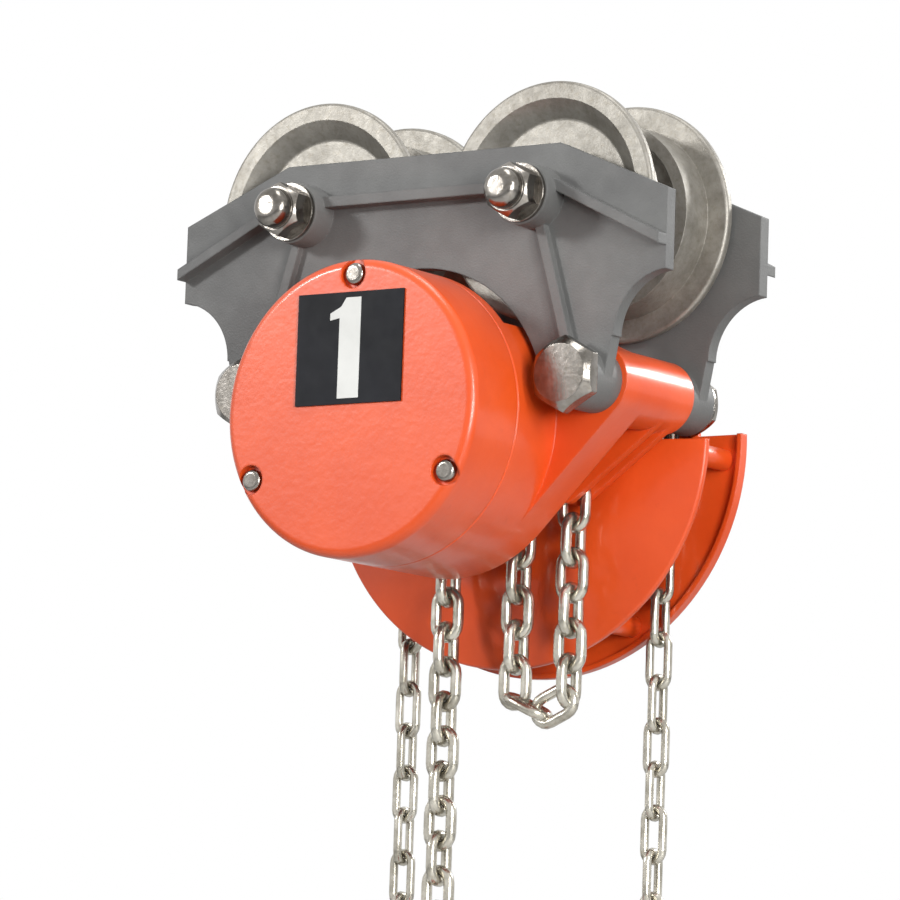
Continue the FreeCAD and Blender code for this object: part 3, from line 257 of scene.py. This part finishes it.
def paint(name, main, dark, gloss, grain_scale, grain_depth, coat=0.0, edge=1.0 * MM, shine=0.5):
    made = Shader(name, coat=coat)
    made.shader.inputs["Specular IOR Level"].default_value = shine
    tone = made.ramp(made.noise(scale=22.0, detail=5.0), low=0.35, high=0.7, colours=(dark, main))
    patches = made.noise(scale=75.0, detail=8.0, roughness=0.7)
    grime = made.ramp(patches, low=0.62, high=0.8, colours=(WHITE, GRIME))
    made.colour(made.mix(GRIME_SHARE, tone, grime, "MULTIPLY"))
    made.rough(made.span(made.noise(scale=120.0, detail=6.0), *gloss))
    made.bump(made.noise(grain_scale, detail=3.0), grain_depth, edge)
    return made.material


def metal(name, main, dark, gloss, grain_scale, grain_depth, metallic=0.9, edge=0.6 * MM):
    made = Shader(name, metallic=metallic)
    clouds = made.noise(scale=60.0, detail=6.0, roughness=0.65)
    tone = made.ramp(clouds, low=0.32, high=0.68, colours=(dark, main))
    spots = made.ramp(made.noise(scale=420.0), low=0.5, high=0.75, colours=(WHITE, SPOT))
    made.colour(made.mix(SPOT_SHARE, tone, spots, "MULTIPLY"))
    made.rough(made.span(made.noise(scale=260.0, detail=5.0), *gloss))
    made.bump(made.noise(grain_scale), grain_depth, edge)
    return made.material


MATERIALS = {
    "orange": paint("orange_paint", linear(238, 90, 34), linear(226, 80, 26), gloss=(0.26, 0.42),
                    grain_scale=260.0, grain_depth=0.12 * MM, coat=0.25, edge=1.5 * MM),
    "grey": paint("grey_paint", linear(112, 112, 110), linear(94, 94, 93), gloss=(0.45, 0.62),
                  grain_scale=900.0, grain_depth=0.18 * MM, edge=1.2 * MM),
    "zinc": metal("zinc_plate", linear(212, 208, 197), linear(150, 145, 132), gloss=(0.14, 0.30),
                  grain_scale=700.0, grain_depth=0.08 * MM),
    "castwheel": metal("wheel_casting", linear(164, 160, 152), linear(128, 124, 116), gloss=(0.36, 0.56),
                       grain_scale=900.0, grain_depth=0.12 * MM, metallic=0.55),
    "bright": metal("bright_plate", linear(158, 153, 147), linear(106, 102, 96), gloss=(0.12, 0.28),
                    grain_scale=500.0, grain_depth=0.06 * MM, metallic=1.0, edge=0.8 * MM),
    "bronze": metal("bearing_bronze", linear(186, 148, 82), linear(150, 116, 60), gloss=(0.3, 0.5),
                    grain_scale=500.0, grain_depth=0.05 * MM),
    "steel": metal("machined_steel", linear(150, 150, 152), linear(118, 118, 120), gloss=(0.28, 0.48),
                   grain_scale=600.0, grain_depth=0.06 * MM),
    "friction": paint("friction_lining", linear(78, 70, 62), linear(58, 52, 46), gloss=(0.75, 0.95),
                      grain_scale=1200.0, grain_depth=0.1 * MM),
    "label": paint("black_plate", linear(24, 25, 31), linear(12, 13, 17), gloss=(0.4, 0.6),
                   grain_scale=300.0, grain_depth=0.03 * MM, edge=0.2 * MM, shine=0.15),
    "hookpaint": paint("hook_paint", linear(222, 84, 36), linear(200, 70, 28), gloss=(0.3, 0.5),
                       grain_scale=300.0, grain_depth=0.15 * MM, coat=0.2),
    "white": paint("white_print", linear(236, 236, 232), linear(216, 216, 212), gloss=(0.4, 0.6),
                   grain_scale=300.0, grain_depth=0.03 * MM, edge=0.2 * MM),
}
for entry in frame["record"]["subparts"]:
    piece = frame["nodes"][entry["node"]]
    piece.data.materials.clear()
    piece.data.materials.append(MATERIALS[entry["material_slot"]])


# Pieces that are drawn here
def closed_mesh(name, mesh):
    """Mesh data of finished faces, turned outwards."""
    bmesh.ops.recalc_face_normals(mesh, faces=mesh.faces)
    data = bpy.data.meshes.new(name)
    mesh.to_mesh(data)
    mesh.free()
    return data


def add_piece(name, mesh, material, body=ROOT):
    item = bpy.data.objects.new(name, mesh)
    bpy.context.scene.collection.objects.link(item)
    mesh.materials.append(MATERIALS[material])
    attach(item, body)
    return item


# Chains: rounded links in place of the faceted solids, in millimetres
HOIST_Z = -64.5
LOAD_WIRE, LOAD_PITCH, LOAD_Y = 6.3, 19.1, 21.0
HAND_WIRE, HAND_PITCH, HAND_Y = 5.0, 23.7, 72.5
SHEAVE_POCKETS, HAND_POCKETS = 4, 11
LOAD_LINKS, SLACK_LINKS, RISE_LINKS, SLACK_DIP = 14, 7, 6, 8.0
HAND_LINKS = 11
BEND_WIRES = 1.15
WIRE_EASE = 0.12
BEND_STEPS = 9
WIRE_SIDES = 12


def corner_radius(pitch, pockets):
    return pitch / 2 / math.sin(math.pi / pockets / 2)


def wheel_corners(pitch, pockets, start, count):
    radius = corner_radius(pitch, pockets)
    angles = [math.radians(start) + math.pi / pockets * (step - 0.5) for step in range(count)]
    return [(radius * math.cos(a), HOIST_Z + radius * math.sin(a)) for a in angles]


def load_route():
    strand = corner_radius(LOAD_PITCH, SHEAVE_POCKETS) * math.cos(math.pi / SHEAVE_POCKETS / 2)
    run = math.sqrt(LOAD_PITCH ** 2 - SLACK_DIP ** 2)
    top = HOIST_Z - LOAD_PITCH / 2
    low = top - SLACK_LINKS * LOAD_PITCH
    route = [(strand + 2 * run, low + (RISE_LINKS - step) * LOAD_PITCH) for step in range(RISE_LINKS + 1)]
    route.append((strand + run, low - SLACK_DIP))
    route += [(strand, low + step * LOAD_PITCH) for step in range(SLACK_LINKS)]
    route += wheel_corners(LOAD_PITCH, SHEAVE_POCKETS, 0, SHEAVE_POCKETS + 2)
    route += [(-strand, top - step * LOAD_PITCH) for step in range(1, LOAD_LINKS + 1)]
    return route


def hand_route():
    strand = corner_radius(HAND_PITCH, HAND_POCKETS) * math.cos(math.pi / HAND_POCKETS / 2)
    drop = HAND_LINKS * HAND_PITCH
    route = wheel_corners(HAND_PITCH, HAND_POCKETS, 0, HAND_POCKETS + 2)
    route += [(-strand, HOIST_Z - (step + 0.5) * HAND_PITCH) for step in range(1, HAND_LINKS - 1)]
    route += [(x, z - drop) for x, z in wheel_corners(HAND_PITCH, HAND_POCKETS, 180, HAND_POCKETS + 2)]
    route += [(strand, HOIST_Z - drop + (step + 0.5) * HAND_PITCH) for step in range(1, HAND_LINKS - 1)]
    return route + route[:1]


def link_points(wire, pitch):
    """Rings of points round one link, its long way along X and its plane square to Z."""
    half = wire / 2 - WIRE_EASE
    bend = BEND_WIRES * wire
    straight = pitch / 2 + wire / 2 - bend
    leans = [2 * math.pi * k / WIRE_SIDES for k in range(WIRE_SIDES)]
    section = [(half * math.cos(lean), half * math.sin(lean)) for lean in leans]
    rings = []
    for side in (0, 1):
        for step in range(BEND_STEPS + 1):
            angle = math.pi * (side + step / BEND_STEPS) - math.pi / 2
            out = Vector((math.cos(angle), math.sin(angle), 0))
            centre = Vector((straight * (1 - 2 * side), 0, 0)) + out * bend
            rings.append([centre + out * wide + Vector((0, 0, high)) for wide, high in section])
    return rings


def chain_mesh(name, route, y, wire, pitch, first_flat):
    mesh = bmesh.new()
    rings = link_points(wire, pitch)
    across = Vector((0, 1, 0))
    for index in range(len(route) - 1):
        start, end = route[index], route[index + 1]
        run = Vector((end[0] - start[0], 0, end[1] - start[1])).normalized()
        normal = run.cross(across) if (index % 2 == 0) == first_flat else across
        side = normal.cross(run)
        middle = Vector(((start[0] + end[0]) / 2, y, (start[1] + end[1]) / 2))
        placed = [[mesh.verts.new((middle + run * p.x + side * p.y + normal * p.z) * MM) for p in ring]
                  for ring in rings]
        for number, ring in enumerate(placed):
            after = placed[(number + 1) % len(placed)]
            for k in range(WIRE_SIDES):
                following = (k + 1) % WIRE_SIDES
                face = mesh.faces.new((ring[k], after[k], after[following], ring[following]))
                face.smooth = True
    return closed_mesh(name, mesh)


load_links = chain_mesh("load_chain_links", load_route(), LOAD_Y, LOAD_WIRE, LOAD_PITCH, first_flat=False)
load_chain = add_piece("load_chain_links", load_links, "zinc")
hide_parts("load_chain")
hand_links = chain_mesh("hand_chain_links", hand_route(), HAND_Y, HAND_WIRE, HAND_PITCH, first_flat=True)
hand_chain = add_piece("hand_chain_links", hand_links, "zinc")
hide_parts("hand_chain")

# Numeral on the black plate: a plain bar with a slanted flag, in half bar widths and half heights
NUMERAL = [(-1.0, -1.0), (1.0, -1.0), (1.0, 1.0), (-0.4, 1.0), (-0.9, 0.82),
           (-1.9, 0.7), (-1.9, 0.56), (-1.0, 0.6)]
HALF_TALL_SHARE = 0.45
HALF_BAR_SHARE = 0.1
NUMERAL_PROUD = 0.2 * MM
NUMERAL_SUNK = 0.05 * MM


def numeral():
    low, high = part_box("number_plate")
    centre_x = (low[0] + high[0]) / 2
    centre_z = (low[2] + high[2]) / 2
    half_tall = (high[2] - low[2]) * HALF_TALL_SHARE
    half_bar = (high[0] - low[0]) * HALF_BAR_SHARE
    points = [(centre_x + x * half_bar, centre_z + z * half_tall) for x, z in NUMERAL]
    mesh = bmesh.new()
    near = [mesh.verts.new((x, low[1] - NUMERAL_PROUD, z)) for x, z in points]
    far = [mesh.verts.new((x, low[1] + NUMERAL_SUNK, z)) for x, z in points]
    mesh.faces.new(near)
    mesh.faces.new(list(reversed(far)))
    for index in range(len(points)):
        after = (index + 1) % len(points)
        mesh.faces.new((near[index], far[index], far[after], near[after]))
    return closed_mesh("plate_numeral", mesh)


add_piece("plate_numeral", numeral(), "white")

# Floor below the hook: pale where it is seen, and duller in the light that it throws back
FLOOR_HALF = 6.0
FLOOR_DROP = 0.45
FLOOR_TONES = (linear(238, 238, 236), linear(246, 246, 245))
FLOOR_BOUNCE = linear(120, 118, 114)
FLOOR_ROUGHNESS = 0.8


def make_floor():
    level = cad_box[0][2] - FLOOR_DROP
    corners = [(-FLOOR_HALF, -FLOOR_HALF, level), (FLOOR_HALF, -FLOOR_HALF, level),
               (FLOOR_HALF, FLOOR_HALF, level), (-FLOOR_HALF, FLOOR_HALF, level)]
    data = bpy.data.meshes.new("floor")
    data.from_pydata(corners, [], [(0, 1, 2, 3)])
    floor = bpy.data.objects.new("floor", data)
    bpy.context.scene.collection.objects.link(floor)
    made = Shader("pale_floor")
    path = made.tree.nodes.new("ShaderNodeLightPath")
    pale = made.ramp(made.noise(scale=3.0), low=0.3, high=0.7, colours=FLOOR_TONES)
    made.colour(made.mix(path.outputs["Is Diffuse Ray"], pale, FLOOR_BOUNCE))
    made.shader.inputs["Roughness"].default_value = FLOOR_ROUGHNESS
    data.materials.append(made.material)


make_floor()
